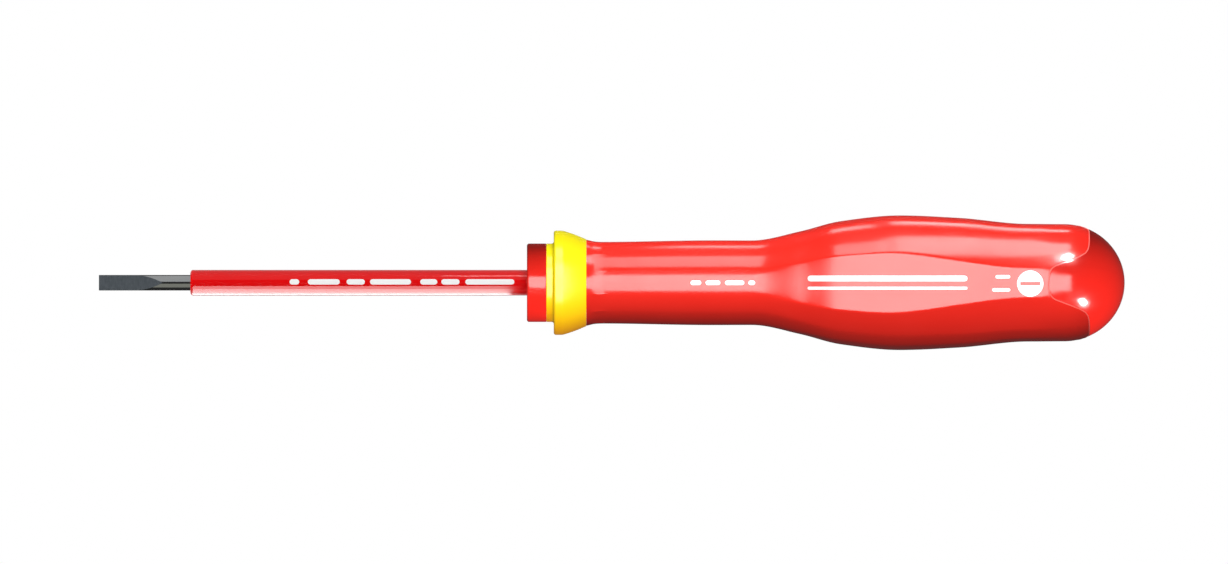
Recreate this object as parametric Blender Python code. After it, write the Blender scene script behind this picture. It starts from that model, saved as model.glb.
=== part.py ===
"""Insulated slotted screwdriver, modelled as the pieces it is moulded and assembled from.

The long axis is X. The origin is the centre of the blade's end face, the handle lies towards +X,
and one of the handle's three marked flats faces -Y. Sizes are in metres.
"""

import math

import bmesh
import bpy
from mathutils import Vector

MM = 0.001

# Fits between neighbouring pieces.
FIT = 0.3 * MM
HALF_FIT = FIT / 2

# Blade: a round bar, ground flat on two sides at the tip and pressed into wings inside the handle.
BLADE_DIAMETER = 2.72 * MM
TIP_THICKNESS = 0.6 * MM
TIP_PARALLEL_LENGTH = 5.4 * MM
TIP_RUNOUT_LENGTH = 5.6 * MM
BLADE_REACH = 75.0 * MM
BLADE_IN_HANDLE = 42.0 * MM
BLADE_END_CHAMFER = 0.4 * MM
WING_FRONT = 28.0 * MM
WING_LENGTH = 9.0 * MM
WING_RAMP = 2.0 * MM
WING_SPREAD = 1.75
WING_PINCH = 0.62

# Sheath: the insulating tube on the blade.
BARE_LENGTH = 16.0 * MM
SHEATH_DIAMETER = 4.5 * MM
SHEATH_IN_HANDLE = 14.0 * MM
SHEATH_LIP_RADIUS = 0.4 * MM

# Nose collar and guard ring, in order from the front of the handle.
COLLAR_DIAMETER = 13.75 * MM
COLLAR_LENGTH = 3.4 * MM
COLLAR_FRONT_WALL = 1.4 * MM
HUB_LENGTH = 1.3 * MM
GUARD_DIAMETER = 18.28 * MM
GUARD_RIM_LENGTH = 2.3 * MM
GUARD_LENGTH = 5.7 * MM
GUARD_REAR_DIAMETER = 15.2 * MM
EDGE_RADIUS = 0.4 * MM

# Grip: a three-lobed skin. Stations are measured from the back of the guard; each row gives the
# station, the distance from the axis to the creases, and the distance to the three main flats.
NECK_DIAMETER = 15.1 * MM
GRIP_STATIONS = (
    (2.4 * MM, 7.24 * MM, 6.95 * MM),
    (22.0 * MM, 7.52 * MM, 7.22 * MM),
    (29.0 * MM, 7.50 * MM, 7.20 * MM),
    (37.5 * MM, 9.07 * MM, 8.34 * MM),
    (44.6 * MM, 10.83 * MM, 9.71 * MM),
    (55.0 * MM, 11.83 * MM, 10.59 * MM),
    (65.5 * MM, 11.48 * MM, 10.80 * MM),
    (77.4 * MM, 10.50 * MM, 10.17 * MM),
)
WAIST_STATION = GRIP_STATIONS[2][0]
BELLY_STATION = GRIP_STATIONS[4][0]
REAR_NECK_STATION = GRIP_STATIONS[-1][0]
STRIP_ANGLE_WAIST = math.radians(43.8)
STRIP_ANGLE_BELLY = math.radians(51.8)
SHARPNESS_WAIST = 75
SHARPNESS_BELLY = 220
FACET_BULGES = (0.05, 0.0, 0.0)
POCKET_START = 0.85 * MM
POCKET_RUNOUT = 1.7 * MM
POCKET_CORNER = 1.3 * MM
SLEEVE_WALL = 1.9 * MM

# Butt cap: a dome with a tongue in each main flat, parted from the sleeve by a curved seam.
SHOULDER_LENGTH = 6.3 * MM
DOME_STATION = REAR_NECK_STATION + SHOULDER_LENGTH
DOME_RADIUS = 10.5 * MM
DOME_LENGTH = 10.65 * MM
SEAM_PAST_SHOULDER = 4.3 * MM
SEAM_STATION = DOME_STATION + SEAM_PAST_SHOULDER
TONGUE_LENGTH = 7.1 * MM
TONGUE_HALF_WIDTH = 4.05 * MM
TONGUE_ROUNDING = (0.6 * MM, 0.85 * MM)

# Core: the hard body inside the sleeve, which the blade, collar, guard and cap are fixed to.
CORE_NOSE_DIAMETER = 9.2 * MM
CORE_PAST_SEAM = 1.0 * MM
CORE_END = SEAM_STATION + CORE_PAST_SEAM

# Lines across the handle that the pieces share, measured from the tip.
HUB_FRONT = BLADE_REACH + COLLAR_LENGTH
GUARD_FRONT = HUB_FRONT + HUB_LENGTH
GRIP_FRONT = GUARD_FRONT + GUARD_LENGTH

LOBES = 3
LOBE_PITCH = 2 * math.pi / LOBES
HALF_LOBE = LOBE_PITCH / 2
LATHE_STEPS = 40
BAR_STEPS = 32
FLAT_STEPS = 4
NARROWEST_FLAT = math.radians(4)
RUNOUT_STEPS = 8
LIP_STEPS = 4
SLEEVE_ROWS = 15
SLEEVE_REAR_ROWS = 5
CAP_ROWS = 8
NEAR_POLE = 0.96
CREASE_HALF = math.radians(1.6)
SHARP_EDGE = math.radians(35)


# ---------------------------------------------------------------- curves

def ease(share):
    """A smooth step from 0 to 1."""
    share = min(max(share, 0.0), 1.0)
    return share * share * (3 - 2 * share)


def blend(a, b, share):
    """The value a share of the way from a to b."""
    return a + (b - a) * share


def through(knots, x):
    """The value at x of a smooth curve through (x, value) knots, level at its own peaks and ends."""
    if x <= knots[0][0]:
        return knots[0][1]
    if x >= knots[-1][0]:
        return knots[-1][1]
    slopes = [(b[1] - a[1]) / (b[0] - a[0]) for a, b in zip(knots, knots[1:])]
    tangents = [0.0]
    for before, after in zip(slopes, slopes[1:]):
        level = before * after <= 0
        tangents.append(0.0 if level else 2 * before * after / (before + after))
    tangents.append(0.0)
    i = max(i for i in range(len(slopes)) if knots[i][0] <= x)
    (x0, y0), (x1, y1) = knots[i], knots[i + 1]
    width = x1 - x0
    t = (x - x0) / width
    start = (1 + 2 * t) * (1 - t) ** 2 * y0 + t * (1 - t) ** 2 * width * tangents[i]
    end = t * t * (3 - 2 * t) * y1 + t * t * (t - 1) * width * tangents[i + 1]
    return start + end


def arc(centre, radius, start, end, steps):
    """Points (x, r) along a round corner of a turned profile, its angles in degrees from +X."""
    points = []
    for i in range(steps + 1):
        angle = math.radians(blend(start, end, i / steps))
        points.append((centre[0] + radius * math.cos(angle), centre[1] + radius * math.sin(angle)))
    return points


def hollow_curve(start, pull, end, steps):
    """Points of a quadratic curve from start to end that leans towards pull."""
    points = []
    for i in range(steps + 1):
        t = i / steps
        a, b, c = (1 - t) ** 2, 2 * t * (1 - t), t * t
        points.append(tuple(a * s + b * p + c * e for s, p, e in zip(start, pull, end)))
    return points


# ---------------------------------------------------------------- the handle's skin

def within_lobe(angle):
    """The angle folded to the nearest main flat: 0 in the middle of a flat, HALF_LOBE on a lobe."""
    return abs((angle + HALF_LOBE) % LOBE_PITCH - HALF_LOBE)


def crease_angles(station):
    """The angles, from the middle of a main flat, of its edge and of the narrow strip's edge."""
    crest = through([(row[0], row[1]) for row in GRIP_STATIONS], station)
    flat = through([(row[0], row[2]) for row in GRIP_STATIONS], station)
    to_belly = ease((station - WAIST_STATION) / (BELLY_STATION - WAIST_STATION))
    return math.acos(flat / crest), blend(STRIP_ANGLE_WAIST, STRIP_ANGLE_BELLY, to_belly)


def facets(station):
    """(centre angle, half width, bulge) of the main flat, the facet beside it and the strip."""
    flat_edge, strip_edge = crease_angles(station)
    centres = (0.0, (flat_edge + strip_edge) / 2, HALF_LOBE)
    halves = (flat_edge, (strip_edge - flat_edge) / 2, HALF_LOBE - strip_edge)
    return list(zip(centres, halves, FACET_BULGES))


def faceted_radius(station, angle):
    """The skin of the faceted stretch: facets that meet in softly rounded creases."""
    crest = through([(row[0], row[1]) for row in GRIP_STATIONS], station)
    to_belly = ease((station - WAIST_STATION) / (BELLY_STATION - WAIST_STATION))
    sharpness = blend(SHARPNESS_WAIST, SHARPNESS_BELLY, to_belly)
    total = 0.0
    for centre, half, bulge in facets(station):
        plane = math.cos(within_lobe(angle) - centre) / math.cos(half)
        total += max((1 - bulge) * plane + bulge, 0.0) ** sharpness
    return crest / total ** (1 / sharpness)


def pocket_share(station, angle):
    """0 on the round neck and 1 in the facets, which start as pockets with rounded corners."""
    folded = within_lobe(angle)
    off_centre = min(abs(folded - centre) / half for centre, half, _ in facets(station))
    corner = POCKET_CORNER * (1 - math.sqrt(1 - min(off_centre, 1.0) ** 4))
    share = min(max((station - POCKET_START - corner) / POCKET_RUNOUT, 0.0), 1.0)
    return 1 - (1 - share) ** 2


def skin_radius(station, angle):
    """Distance from the axis to the handle's outer skin, anywhere from the guard to the butt."""
    if station >= DOME_STATION:
        along = min((station - DOME_STATION) / DOME_LENGTH, 1.0)
        return DOME_RADIUS * math.sqrt(1 - along * along)
    neck = ((0.0, NECK_DIAMETER / 2), GRIP_STATIONS[0][:2])
    round_front = through(neck, station)
    front = blend(round_front, faceted_radius(station, angle), pocket_share(station, angle))
    to_dome = ease((station - REAR_NECK_STATION) / (DOME_STATION - REAR_NECK_STATION))
    return blend(front, DOME_RADIUS, to_dome)


def seam_station(angle, inset=0.0):
    """Where the sleeve ends at this angle; inset moves the line into the cap, for its clearance."""
    across = within_lobe(angle) * DOME_RADIUS + inset
    rounding = TONGUE_ROUNDING[across > TONGUE_HALF_WIDTH]
    share = 1 / (1 + math.exp((TONGUE_HALF_WIDTH - across) / rounding))
    return SEAM_STATION - TONGUE_LENGTH * (1 - share) + inset


# ---------------------------------------------------------------- meshes

def column_angles(station):
    """Angles round the handle, from -Y towards +Z, close together at the creases."""
    flat_edge, strip_edge = crease_angles(station)
    between = [blend(flat_edge, strip_edge, share) for share in (0.2, 0.45, 0.7)]
    half = [0.0, flat_edge / 2, flat_edge - CREASE_HALF, flat_edge + CREASE_HALF, *between]
    half += [strip_edge - CREASE_HALF, strip_edge + CREASE_HALF, HALF_LOBE]
    lobe = [-angle for angle in reversed(half[1:-1])] + half
    return [i * LOBE_PITCH + angle for i in range(LOBES) for angle in lobe]


def place(x, radius, angle):
    """A point by its station, its distance from the axis and its angle from -Y towards +Z."""
    return Vector((x, -radius * math.cos(angle), radius * math.sin(angle)))


def loft(name, rings, material, wrap=False):
    """One closed body through rings of equal count: wrap joins the last ring to the first,
    and otherwise each end is closed with a fan."""
    mesh = bpy.data.meshes.new(name)
    bm = bmesh.new()
    loops = [[bm.verts.new(point) for point in ring] for ring in rings]
    pairs = list(zip(loops, loops[1:]))
    if wrap:
        pairs.append((loops[-1], loops[0]))
    for a, b in pairs:
        for i in range(len(a)):
            bm.faces.new((a[i - 1], a[i], b[i], b[i - 1]))
    if not wrap:
        for loop in (loops[0], loops[-1]):
            middle = bm.verts.new(sum((v.co for v in loop), Vector()) / len(loop))
            for i in range(len(loop)):
                bm.faces.new((loop[i - 1], loop[i], middle))
    return finish_mesh(name, mesh, bm, material)


def lathe(name, profile, material, steps=LATHE_STEPS):
    """A ring turned round the X axis from a closed profile of (x, r) points."""
    mesh = bpy.data.meshes.new(name)
    bm = bmesh.new()
    verts = [bm.verts.new((x, 0.0, r)) for x, r in profile]
    edges = [bm.edges.new((verts[i - 1], verts[i])) for i in range(len(verts))]
    bmesh.ops.spin(bm, geom=verts + edges, cent=(0, 0, 0), axis=(1, 0, 0),
                   angle=2 * math.pi, steps=steps, use_merge=True)
    bmesh.ops.remove_doubles(bm, verts=bm.verts, dist=0.001 * MM)
    return finish_mesh(name, mesh, bm, material)


def finish_mesh(name, mesh, bm, material):
    """Makes the built mesh a named object with its faces out and its round sides smooth."""
    bmesh.ops.recalc_face_normals(bm, faces=bm.faces)
    bm.to_mesh(mesh)
    bm.free()
    mesh.shade_smooth()
    mesh.set_sharp_from_angle(angle=SHARP_EDGE)
    mesh.materials.append(material)
    piece = bpy.data.objects.new(name, mesh)
    bpy.context.scene.collection.objects.link(piece)
    return piece


def cut(piece, cutter):
    """Takes the cutter's shape out of the piece and keeps the cutter as a wire helper."""
    cutter.hide_render = True
    cutter.display_type = "WIRE"
    modifier = piece.modifiers.new(cutter.name, "BOOLEAN")
    modifier.operation = "DIFFERENCE"
    modifier.solver = "EXACT"
    modifier.object = cutter


# ---------------------------------------------------------------- materials

def linear(hex_colour):
    """An sRGB hex colour as linear RGBA."""
    channels = [int(hex_colour[i:i + 2], 16) / 255 for i in (1, 3, 5)]
    return [c / 12.92 if c <= 0.04045 else ((c + 0.055) / 1.055) ** 2.4 for c in channels] + [1.0]


def finish(name, hex_colour, roughness, metallic=0.0):
    """One plain material, by its colour and gloss."""
    material = bpy.data.materials.new(name)
    material.use_nodes = True
    shader = material.node_tree.nodes["Principled BSDF"]
    shader.inputs["Base Color"].default_value = linear(hex_colour)
    shader.inputs["Roughness"].default_value = roughness
    shader.inputs["Metallic"].default_value = metallic
    return material


# ---------------------------------------------------------------- blade and sheath

def blade_ring(x, radius, flat_distance, spread=1.0, pinch=1.0):
    """One section of the bar: across the flat on the -Y side, round to the flat on the +Y side,
    across it and back round. On the round bar the flats are too narrow to notice."""
    edge = max(math.acos(min(flat_distance / radius, 1.0)), NARROWEST_FLAT)
    around = BAR_STEPS // 2 - FLAT_STEPS
    points = []
    for turn in (0.0, math.pi):
        side = math.cos(turn)
        for i in range(FLAT_STEPS):
            height = radius * math.sin(edge) * blend(-1, 1, i / FLAT_STEPS)
            depth = radius * math.cos(edge)
            points.append(Vector((x, -side * depth * pinch, side * height * spread)))
        for i in range(around):
            section = place(x, radius, turn + blend(edge, math.pi - edge, i / around))
            points.append(Vector((x, section.y * pinch, section.z * spread)))
    return points


def tip_rings(radius):
    """The ground tip: flats parallel to the axis, then rising along an arc to the round bar."""
    rings = [blade_ring(0.0, radius, TIP_THICKNESS / 2)]
    rise = radius - TIP_THICKNESS / 2
    arc_radius = (TIP_RUNOUT_LENGTH ** 2 + rise ** 2) / (2 * rise)
    for i in range(RUNOUT_STEPS + 1):
        along = TIP_RUNOUT_LENGTH * i / RUNOUT_STEPS
        depth = TIP_THICKNESS / 2 + arc_radius - math.sqrt(arc_radius ** 2 - along ** 2)
        rings.append(blade_ring(TIP_PARALLEL_LENGTH + along, radius, min(depth, radius)))
    return rings


def anchor_rings(radius, clearance):
    """The pressed wings and the bar's end, inside the handle, grown by a clearance."""
    size = radius + clearance
    spread = (radius * WING_SPREAD + clearance) / size
    pinch = (radius * WING_PINCH + clearance) / size
    start = BLADE_REACH + WING_FRONT
    stop = start + WING_LENGTH
    rings = [blade_ring(start - clearance, size, size)]
    for x in (start + WING_RAMP - clearance, stop - WING_RAMP + clearance):
        rings.append(blade_ring(x, size, size, spread, pinch))
    rings.append(blade_ring(stop + clearance, size, size))
    return rings


def make_blade(material):
    radius = BLADE_DIAMETER / 2
    end = BLADE_REACH + BLADE_IN_HANDLE
    rings = tip_rings(radius) + anchor_rings(radius, 0.0)
    rings.append(blade_ring(end - BLADE_END_CHAMFER, radius, radius))
    rings.append(blade_ring(end, radius - BLADE_END_CHAMFER, radius - BLADE_END_CHAMFER))
    return loft("blade", rings, material)


def make_blade_sheath(material):
    inner = BLADE_DIAMETER / 2 + FIT
    outer = SHEATH_DIAMETER / 2
    lip = min(SHEATH_LIP_RADIUS, 0.9 * (outer - inner))
    rear = BLADE_REACH + SHEATH_IN_HANDLE
    profile = arc((BARE_LENGTH + lip, outer - lip), lip, 180, 90, LIP_STEPS)
    profile += [(rear, outer), (rear, inner), (BARE_LENGTH, inner)]
    return lathe("blade_sheath", profile, material, BAR_STEPS)


# ---------------------------------------------------------------- front of the handle

def make_nose_collar(material):
    outer = COLLAR_DIAMETER / 2
    hole = SHEATH_DIAMETER / 2 + FIT
    bore = CORE_NOSE_DIAMETER / 2 + FIT
    rear = COLLAR_LENGTH - HALF_FIT
    profile = arc((EDGE_RADIUS, outer - EDGE_RADIUS), EDGE_RADIUS, 180, 90, LIP_STEPS)
    profile += [(rear, outer), (rear, bore)]
    profile += [(COLLAR_FRONT_WALL, bore), (COLLAR_FRONT_WALL, hole), (0.0, hole)]
    piece = lathe("nose_collar", profile, material)
    piece.location.x = BLADE_REACH
    return piece


def make_guard_ring(material):
    rim = GUARD_DIAMETER / 2
    rear = GUARD_LENGTH - HALF_FIT
    rear_radius = GUARD_REAR_DIAMETER / 2
    bore = CORE_NOSE_DIAMETER / 2 + FIT
    hub = COLLAR_DIAMETER / 2
    back_edge = (GUARD_RIM_LENGTH, rim)
    pull = (blend(GUARD_RIM_LENGTH, rear, 0.45), blend(rim, rear_radius, 0.55))
    profile = [(HALF_FIT - HUB_LENGTH, bore), (HALF_FIT - HUB_LENGTH, hub), (0.0, hub)]
    profile += arc((EDGE_RADIUS, rim - EDGE_RADIUS), EDGE_RADIUS, 180, 90, LIP_STEPS)
    profile += hollow_curve(back_edge, pull, (rear, rear_radius), 5)
    profile.append((rear, bore))
    piece = lathe("guard_ring", profile, material)
    piece.location.x = GUARD_FRONT
    return piece


# ---------------------------------------------------------------- handle behind the guard

def sleeve_stations():
    """Stations along the sleeve to the rear neck, closest together in the pocket ends."""
    pockets = [HALF_FIT, POCKET_START, POCKET_START + 0.4 * MM, POCKET_START + POCKET_RUNOUT / 2]
    pockets += [POCKET_START + POCKET_RUNOUT, POCKET_START + POCKET_CORNER + POCKET_RUNOUT]
    start = GRIP_STATIONS[0][0] + POCKET_CORNER
    rows = range(1, SLEEVE_ROWS + 1)
    return pockets + [blend(start, REAR_NECK_STATION, i / SLEEVE_ROWS) for i in rows]


def skin_rings(inward=0.0):
    """Rings of the handle's skin, or of a surface under it, from the guard to the seam line:
    square to the axis as far as the rear neck, then turning into the line of the seam."""
    rings = []
    for station in sleeve_stations():
        angles = column_angles(station)
        rings.append([place(station, skin_radius(station, a) - inward, a) for a in angles])
    for i in range(1, SLEEVE_REAR_ROWS + 1):
        rings.append(ring_between(lambda angle: REAR_NECK_STATION, seam_station,
                                  i / SLEEVE_REAR_ROWS, inward))
    return rings


def ring_between(front_line, rear_line, share, inward=0.0):
    """A ring part of the way, by share, between two lines round the rear of the handle, each a
    function that gives a station for an angle."""
    points = []
    for angle in column_angles(REAR_NECK_STATION):
        station = blend(front_line(angle), rear_line(angle), share)
        points.append(place(station, skin_radius(station, angle) - inward, angle))
    return points


def make_grip_sleeve(material):
    rings = skin_rings() + skin_rings(SLEEVE_WALL)[::-1]
    piece = loft("grip_sleeve", rings, material, wrap=True)
    piece.location.x = GRIP_FRONT
    return piece


def cap_seam(angle):
    """The cap's side of the seam line."""
    return seam_station(angle, FIT)


def cap_dome_ring(share):
    """A ring of the cap's skin part of the way, by turn, from the seam line to the pole."""
    points = []
    for angle in column_angles(REAR_NECK_STATION):
        start = math.asin((cap_seam(angle) - DOME_STATION) / DOME_LENGTH)
        station = DOME_STATION + DOME_LENGTH * math.sin(blend(start, math.pi / 2, share))
        points.append(place(station, skin_radius(station, angle), angle))
    return points


def make_butt_cap(material):
    floor = CORE_END + FIT
    rings = [ring_between(cap_seam, lambda angle: floor, share, SLEEVE_WALL)
             for share in (1.0, 0.6, 0.3, 0.0)]
    rings += [cap_dome_ring(i / CAP_ROWS) for i in range(CAP_ROWS)]
    rings.append(cap_dome_ring(NEAR_POLE))
    piece = loft("butt_cap", rings, material)
    piece.location.x = GRIP_FRONT
    return piece


def make_handle_core(material):
    nose = CORE_NOSE_DIAMETER / 2
    front = BLADE_REACH + COLLAR_FRONT_WALL + FIT - GRIP_FRONT
    under = SLEEVE_WALL + FIT
    rings = [[place(x, nose, a) for a in column_angles(HALF_FIT)] for x in (front, HALF_FIT)]
    rings += skin_rings(under)
    rings += [ring_between(seam_station, lambda angle: CORE_END, share, under)
              for share in (0.3, 0.6, 1.0)]
    piece = loft("handle_core", rings, material)
    piece.location.x = GRIP_FRONT
    return piece


def make_core_cavity():
    """What the core is moulded round: the sheath's end, the blade and its wings, with clearance."""
    bar = BLADE_DIAMETER / 2
    wide = SHEATH_DIAMETER / 2 + FIT
    narrow = bar + FIT
    step = BLADE_REACH + SHEATH_IN_HANDLE + FIT
    end = BLADE_REACH + BLADE_IN_HANDLE + FIT
    rings = [blade_ring(BLADE_REACH, wide, wide), blade_ring(step, wide, wide)]
    rings.append(blade_ring(step, narrow, narrow))
    rings += anchor_rings(bar, FIT)
    rings.append(blade_ring(end, narrow, narrow))
    return loft("core_cavity", rings, finish("cavity", "#808080", 0.5))


# ---------------------------------------------------------------- the screwdriver

def main():
    for old in list(bpy.data.objects):
        bpy.data.objects.remove(old)

    steel = finish("burnished_steel", "#4A4E55", 0.35, metallic=1.0)
    sheath_plastic = finish("insulating_sheath_red", "#D0101C", 0.3)
    hard_red = finish("hard_plastic_red", "#E82318", 0.25)
    hard_yellow = finish("hard_plastic_yellow", "#FFDC10", 0.3)
    soft_red = finish("soft_grip_red", "#EE2A1E", 0.4)
    core_plastic = finish("core_plastic_red", "#B81E16", 0.5)

    assembly = bpy.data.objects.new("screwdriver", None)
    bpy.context.scene.collection.objects.link(assembly)

    core = make_handle_core(core_plastic)
    cavity = make_core_cavity()
    cut(core, cavity)
    pieces = [
        make_blade(steel),
        make_blade_sheath(sheath_plastic),
        make_nose_collar(hard_red),
        make_guard_ring(hard_yellow),
        make_grip_sleeve(soft_red),
        make_butt_cap(hard_red),
        core,
        cavity,
    ]
    for piece in pieces:
        piece.parent = assembly


main()
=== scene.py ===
"""Looks for the insulated slotted screwdriver: every piece but the hidden core is remade finely over
the CAD frame.

The long axis is X, the blade's tip is at the origin, the handle lies towards +X, and one of the
handle's three main flats faces -Y. Lengths are in metres.
"""

import math

import bmesh
import bpy
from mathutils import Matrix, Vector


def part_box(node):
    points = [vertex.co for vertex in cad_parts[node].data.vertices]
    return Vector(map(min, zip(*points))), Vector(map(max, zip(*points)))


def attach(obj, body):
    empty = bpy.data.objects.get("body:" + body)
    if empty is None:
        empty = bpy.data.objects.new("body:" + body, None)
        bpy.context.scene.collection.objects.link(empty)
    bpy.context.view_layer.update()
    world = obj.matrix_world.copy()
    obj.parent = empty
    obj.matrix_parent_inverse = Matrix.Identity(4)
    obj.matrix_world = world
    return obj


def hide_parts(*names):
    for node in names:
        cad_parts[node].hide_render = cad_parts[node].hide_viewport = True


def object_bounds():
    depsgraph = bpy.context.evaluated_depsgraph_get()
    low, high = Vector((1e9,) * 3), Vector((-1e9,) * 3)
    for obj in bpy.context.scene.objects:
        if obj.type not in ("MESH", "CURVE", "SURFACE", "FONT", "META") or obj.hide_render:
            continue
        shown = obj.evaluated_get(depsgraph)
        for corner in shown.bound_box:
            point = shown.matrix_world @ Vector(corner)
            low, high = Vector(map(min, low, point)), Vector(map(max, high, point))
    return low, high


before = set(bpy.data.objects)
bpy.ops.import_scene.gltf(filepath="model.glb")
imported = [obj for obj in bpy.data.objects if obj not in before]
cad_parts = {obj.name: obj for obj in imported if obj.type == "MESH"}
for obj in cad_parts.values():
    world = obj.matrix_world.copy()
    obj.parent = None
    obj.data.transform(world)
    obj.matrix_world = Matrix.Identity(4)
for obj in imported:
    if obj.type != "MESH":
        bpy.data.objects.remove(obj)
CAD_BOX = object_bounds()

MM = 0.001


# ---------------------------------------------------------------- sizes

def reach(node, side):
    """How far a CAD node reaches along the long axis: side 0 is its front, side 1 its rear."""
    return float(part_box(node)[side][0])


def half_width(node):
    """Half of a CAD node's height."""
    low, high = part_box(node)
    return float(high[2] - low[2]) / 2


# Clearances that the CAD pieces keep, and the fine lines that take their place here.
CAD_FIT = 0.3 * MM
FINE_GAP = 0.004 * MM
EDGE_ROUND = 0.12 * MM

# Blade.
BLADE_RADIUS = 1.36 * MM
TIP_THICKNESS = 0.6 * MM
TIP_PARALLEL_LENGTH = 6.2 * MM
TIP_RUNOUT_LENGTH = 5.0 * MM
TIP_ARCH = 2.0
FLAT_STEPS = 10
TIP_FRONT = reach("blade", 0)
BLADE_SHOWN_END = reach("nose_collar", 0) + 20 * MM
TIP_BREAK = 0.05 * MM
BAR_STEPS = 28
GROUND_FADE = 0.1 * MM

# Sheath.
SHEATH_FRONT = reach("blade_sheath", 0)
SHEATH_REAR = reach("blade_sheath", 1)
SHEATH_RADIUS = half_width("blade_sheath")
SHEATH_BORE = BLADE_RADIUS + 0.05 * MM
SHEATH_NOSE = 0.42 * MM
SHEATH_STRAIGHT_FRONT = SHEATH_FRONT + 1 * MM

# Collar and guard.
COLLAR_FRONT = reach("nose_collar", 0)
COLLAR_RADIUS = half_width("nose_collar")
HUB_FRONT = reach("guard_ring", 0) - CAD_FIT / 2
GUARD_RADIUS = half_width("guard_ring")
HUB_LENGTH = 1.3 * MM
GUARD_FRONT = HUB_FRONT + HUB_LENGTH
GUARD_RIM_LENGTH = 1.25 * MM
GUARD_ROUNDING = 2.0 * MM
GUARD_TILT = 16.0
GUARD_BOW = 10.0
GUARD_REAR_RADIUS = 7.6 * MM
CORNER_RADIUS = 0.4 * MM
HUB_FILLET = 0.35 * MM
NOSE_BORE = 4.9 * MM
COLLAR_FACE = 1.4 * MM

# Grip: each row gives the station behind the guard, the distance from the axis to the creases,
# and the distance to the three main flats. The bulges are those of a main flat, of the facet beside
# it and of the strip between two such facets: 0 is flat and 1 is round. A higher sharpness gives
# harder creases, and the pocket is the neck behind the guard where the facets set in.
GRIP_FRONT = reach("grip_sleeve", 0) - CAD_FIT / 2
NECK_RADIUS = 7.55 * MM
GRIP_STATIONS = (
    (2.4 * MM, 7.24 * MM, 6.95 * MM),
    (22.0 * MM, 7.52 * MM, 7.22 * MM),
    (29.0 * MM, 7.50 * MM, 7.20 * MM),
    (37.5 * MM, 9.07 * MM, 8.34 * MM),
    (44.6 * MM, 10.83 * MM, 9.71 * MM),
    (55.0 * MM, 11.83 * MM, 10.59 * MM),
    (65.5 * MM, 11.48 * MM, 10.80 * MM),
    (77.4 * MM, 10.50 * MM, 10.17 * MM),
)
WAIST_STATION = GRIP_STATIONS[2][0]
BELLY_STATION = GRIP_STATIONS[4][0]
REAR_NECK_STATION = GRIP_STATIONS[-1][0]
STRIP_ANGLE_WAIST = math.radians(43.8)
STRIP_ANGLE_BELLY = math.radians(51.8)
SHARPNESS_WAIST = 48
SHARPNESS_BELLY = 220
BULGES_WAIST = (0.35, 0.6, 0.4)
BULGES_BELLY = (0.05, 0.65, 0.5)
POCKET_START = 0.45 * MM
POCKET_RUNOUT = 2.6 * MM
POCKET_CORNER = 1.3 * MM
POCKET_SQUARENESS = 4
POCKET_STEEPNESS = 0.8
SLEEVE_WALL = 1.9 * MM
SLEEVE_BORE_STATIONS = (REAR_NECK_STATION, *(x * MM for x in (60, 50, 40, 30, 20, 5)), FINE_GAP)

# Butt cap and the seam between it and the grip.
DOME_STATION = REAR_NECK_STATION + 6.3 * MM
DOME_RADIUS = half_width("butt_cap")
DOME_LENGTH = reach("butt_cap", 1) - GRIP_FRONT - DOME_STATION
SEAM_STATION = DOME_STATION + 4.3 * MM
TONGUE_LENGTH = 7.1 * MM
TONGUE_HALF_WIDTH = 4.05 * MM
TONGUE_ROUNDING = (0.6 * MM, 0.85 * MM)
CAP_DEPTH = 1.3 * MM
BEAD_RADIUS = 0.1 * MM
BEAD_SUNK = 0.4 * BEAD_RADIUS

# Printed marks. A bar on the grip is its middle's x and z, its length and its height; a dash on
# the sheath is its length and the gap after it, in mm.
INK_FILM = 0.012 * MM
SLOT_SYMBOL = (163.2 * MM, -0.15 * MM)
SLOT_SYMBOL_RADIUS = 2.3 * MM
SLOT_SYMBOL_SLOT = (3.5 * MM, 0.62 * MM)
GRIP_RULES = (
    (138.2 * MM, 0.75 * MM, 28.0 * MM, 1.0 * MM),
    (138.2 * MM, -0.95 * MM, 28.0 * MM, 0.5 * MM),
)
GRIP_DASHES = (
    (104.6 * MM, 0.0, 1.9 * MM, 0.8 * MM),
    (107.6 * MM, 0.0, 2.6 * MM, 0.8 * MM),
    (111.4 * MM, 0.0, 3.4 * MM, 0.8 * MM),
    (114.4 * MM, 0.0, 1.2 * MM, 0.8 * MM),
)
SIZE_TICKS = (
    (158.4 * MM, 1.05 * MM, 2.6 * MM, 0.6 * MM),
    (158.1 * MM, -1.25 * MM, 3.2 * MM, 0.6 * MM),
)
SHEATH_DASHES_FRONT = 33.4 * MM
SHEATH_DASHES = ((1.7, 1.5), (5.6, 1.2), (3.2, 0.9), (7.2, 1.6), (3.0, 0.7), (3.2, 1.0), (8.6, 0.0))
SHEATH_DASH_HEIGHT = 0.95 * MM
SHEATH_DASH_RISE = 0.15 * MM
CELL = 0.25 * MM
IN_FRONT_OF_TOOL = -30 * MM

# Studio: the camera's view, how bright the room is to reflections and to shading, and the floor.
VIEW_WIDTH = 215.18 * MM
VIEW_FROM = (90.26 * MM, -1000 * MM, 0.13 * MM)
REFLECTED_ROOM = 0.06
SHADING_ROOM = 0.17
FLOOR_REACH = 12.0
FLOOR_DROP = 0.1 * MM
HANDLE_MIDDLE = 130 * MM

LOBES = 3
LOBE_PITCH = 2 * math.pi / LOBES
HALF_LOBE = LOBE_PITCH / 2


# ---------------------------------------------------------------- curves

def ease(share):
    """A smooth step from 0 to 1."""
    share = min(max(share, 0.0), 1.0)
    return share * share * (3 - 2 * share)


def blend(a, b, share):
    """The value a share of the way from a to b."""
    return a + (b - a) * share


def steps(start, stop, count):
    """count values from start up to stop, without stop itself."""
    return [blend(start, stop, i / count) for i in range(count)]


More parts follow.
